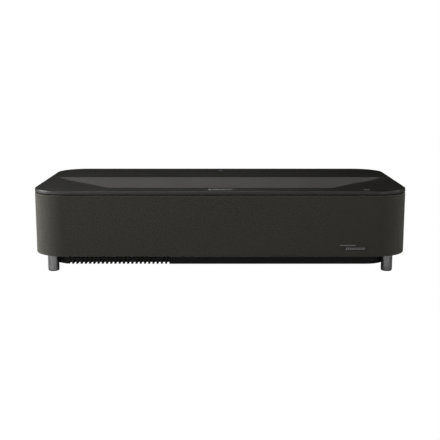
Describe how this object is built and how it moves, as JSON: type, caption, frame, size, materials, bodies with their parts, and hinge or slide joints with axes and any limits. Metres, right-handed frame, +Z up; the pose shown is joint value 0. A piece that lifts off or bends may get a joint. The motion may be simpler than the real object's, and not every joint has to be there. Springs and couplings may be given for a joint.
{
  "type": "home projector",
  "caption": "Low wide home projector with a sunken light well, a sliding window shutter, cloth-wrapped speakers, a pull-out air filter and screw feet.",
  "frame": {"origin": "on the floor, under the centre of the body", "axes": "+Z up, -Y towards the viewers (cloth front), +Y towards the wall, +X to the right as seen from the front"},
  "size_m": [0.695, 0.341, 0.158],
  "materials": {
    "lid_plastic": "satin black",
    "well_plastic": "satin dark grey",
    "speaker_fabric": "woven dark grey",
    "frame_plastic": "matt black",
    "foot_metal": "satin gunmetal",
    "foot_rubber": "matt black",
    "badge_metal": "brushed",
    "cast_aluminium": "satin",
    "sheet_steel": "zinc plated",
    "heat_pipe_copper": "bright copper",
    "window_glass": "clear coated",
    "mirror_silver": "polished",
    "circuit_board": "green solder mask",
    "gear_plastic": "natural",
    "filter_fleece": "pleated white",
    "cone_paper": "matt"
  },
  "bodies": {
    "housing": {"top_cover": "lid_plastic", "rear_cover": "lid_plastic", "bottom_case": "lid_plastic", "light_well": "well_plastic", "speaker_cloth": "speaker_fabric", "grille_frame": "frame_plastic", "shutter_rail_left": "frame_plastic", "shutter_rail_right": "frame_plastic", "window_frame": "frame_plastic", "mirror_hood": "frame_plastic", "projection_lens": "frame_plastic", "exhaust_fan_frame": "frame_plastic", "intake_fan_frame": "frame_plastic", "ac_inlet": "frame_plastic", "button_switch": "frame_plastic", "speaker_box_left": "frame_plastic", "speaker_box_right": "frame_plastic", "sound_badge": "badge_metal", "light_engine": "cast_aluminium", "laser_module": "cast_aluminium", "laser_heatsink": "cast_aluminium", "chassis_plate": "sheet_steel", "shutter_motor": "sheet_steel", "focus_motor": "sheet_steel", "phosphor_motor": "sheet_steel", "wheel_housing": "sheet_steel", "hdmi_port_1": "sheet_steel", "hdmi_port_2": "sheet_steel", "hdmi_port_3": "sheet_steel", "usb_ports": "sheet_steel", "optical_port": "sheet_steel", "speaker_driver_left": "sheet_steel", "speaker_driver_right": "sheet_steel", "heat_pipe": "heat_pipe_copper", "projection_window": "window_glass", "rear_sensor_window": "window_glass", "concave_mirror": "mirror_silver", "power_supply": "circuit_board", "main_board": "circuit_board"},
    "shutter": {"lens_shutter": "well_plastic", "shutter_rack": "gear_plastic"},
    "shutter_gear": {"shutter_pinion": "gear_plastic"},
    "button": {"power_button": "lid_plastic"},
    "focus_barrel": {"focus_ring": "gear_plastic"},
    "focus_gear": {"focus_pinion": "gear_plastic"},
    "filter_drawer": {"filter_cover": "lid_plastic", "filter_element": "filter_fleece"},
    "exhaust_rotor": {"exhaust_fan_rotor": "frame_plastic"},
    "intake_rotor": {"intake_fan_rotor": "frame_plastic"},
    "colour_wheel": {"phosphor_wheel": "cast_aluminium"},
    "cone_left": {"speaker_cone_left": "cone_paper"},
    "cone_right": {"speaker_cone_right": "cone_paper"},
    "pad_front_left": {"foot_pad_front_left": "foot_rubber"},
    "sleeve_front_left": {"foot_sleeve_front_left": "foot_metal"},
    "pad_front_right": {"foot_pad_front_right": "foot_rubber"},
    "sleeve_front_right": {"foot_sleeve_front_right": "foot_metal"},
    "pad_rear_left": {"foot_pad_rear_left": "foot_rubber"},
    "sleeve_rear_left": {"foot_sleeve_rear_left": "foot_metal"},
    "pad_rear_right": {"foot_pad_rear_right": "foot_rubber"},
    "sleeve_rear_right": {"foot_sleeve_rear_right": "foot_metal"}
  },
  "joints": [
    {"name": "shutter_slide", "type": "slide", "parent": "housing", "child": "shutter", "axis": [0, 0.9945, 0.1045], "range_m": [0, 0.07]},
    {"name": "shutter_gear_spin", "type": "hinge", "parent": "housing", "child": "shutter_gear", "pos_m": [0.114, -0.0488, 0.1341], "axis": [1, 0, 0], "range_deg": [-580, 0]},
    {"name": "power_press", "type": "slide", "parent": "housing", "child": "button", "axis": [0, 0, -1], "range_m": [0, 0.0006], "stiffness_N_per_m": 1500, "springref_m": -0.0005},
    {"name": "focus_turn", "type": "hinge", "parent": "housing", "child": "focus_barrel", "pos_m": [0, -0.03, 0.092], "axis": [0, 1, 0], "range_deg": [-40, 40]},
    {"name": "focus_gear_spin", "type": "hinge", "parent": "housing", "child": "focus_gear", "pos_m": [-0.0401, -0.03, 0.092], "axis": [0, 1, 0], "range_deg": [-230, 230]},
    {"name": "filter_pull", "type": "slide", "parent": "housing", "child": "filter_drawer", "axis": [0, -1, 0], "range_m": [0, 0.09]},
    {"name": "exhaust_spin", "type": "hinge", "parent": "housing", "child": "exhaust_rotor", "pos_m": [0.3245, 0.062, 0.09], "axis": [1, 0, 0], "continuous": true},
    {"name": "intake_spin", "type": "hinge", "parent": "housing", "child": "intake_rotor", "pos_m": [-0.185, 0.005, 0.0532], "axis": [0, 0, 1], "continuous": true},
    {"name": "colour_wheel_spin", "type": "hinge", "parent": "housing", "child": "colour_wheel", "pos_m": [0.09, 0.085, 0.092], "axis": [1, 0, 0], "continuous": true},
    {"name": "cone_left_stroke", "type": "slide", "parent": "housing", "child": "cone_left", "axis": [0, -1, 0], "range_m": [-0.0025, 0.0025], "stiffness_N_per_m": 2000},
    {"name": "cone_right_stroke", "type": "slide", "parent": "housing", "child": "cone_right", "axis": [0, -1, 0], "range_m": [-0.0025, 0.0025], "stiffness_N_per_m": 2000},
    {"name": "foot_front_left_lower", "type": "slide", "parent": "housing", "child": "pad_front_left", "axis": [0, 0, -1], "range_m": [0, 0.01]},
    {"name": "foot_front_left_turn", "type": "hinge", "parent": "pad_front_left", "child": "sleeve_front_left", "pos_m": [-0.3157, -0.124, 0.02], "axis": [0, 0, -1], "range_deg": [0, 2400]},
    {"name": "foot_front_right_lower", "type": "slide", "parent": "housing", "child": "pad_front_right", "axis": [0, 0, -1], "range_m": [0, 0.01]},
    {"name": "foot_front_right_turn", "type": "hinge", "parent": "pad_front_right", "child": "sleeve_front_right", "pos_m": [0.3157, -0.124, 0.02], "axis": [0, 0, -1], "range_deg": [0, 2400]},
    {"name": "foot_rear_left_lower", "type": "slide", "parent": "housing", "child": "pad_rear_left", "axis": [0, 0, -1], "range_m": [0, 0.01]},
    {"name": "foot_rear_left_turn", "type": "hinge", "parent": "pad_rear_left", "child": "sleeve_rear_left", "pos_m": [-0.3157, 0.124, 0.02], "axis": [0, 0, -1], "range_deg": [0, 2400]},
    {"name": "foot_rear_right_lower", "type": "slide", "parent": "housing", "child": "pad_rear_right", "axis": [0, 0, -1], "range_m": [0, 0.01]},
    {"name": "foot_rear_right_turn", "type": "hinge", "parent": "pad_rear_right", "child": "sleeve_rear_right", "pos_m": [0.3157, 0.124, 0.02], "axis": [0, 0, -1], "range_deg": [0, 2400]}
  ],
  "couplings": [
    {"joint": "shutter_gear_spin", "follows": "shutter_slide", "rad_per_m": -142.86},
    {"joint": "focus_gear_spin", "follows": "focus_turn", "ratio": -5.6667},
    {"joint": "foot_front_left_lower", "follows": "foot_front_left_turn", "m_per_rad": 0.00023873},
    {"joint": "foot_front_right_lower", "follows": "foot_front_right_turn", "m_per_rad": 0.00023873},
    {"joint": "foot_rear_left_lower", "follows": "foot_rear_left_turn", "m_per_rad": 0.00023873},
    {"joint": "foot_rear_right_lower", "follows": "foot_rear_right_turn", "m_per_rad": 0.00023873}
  ]
}
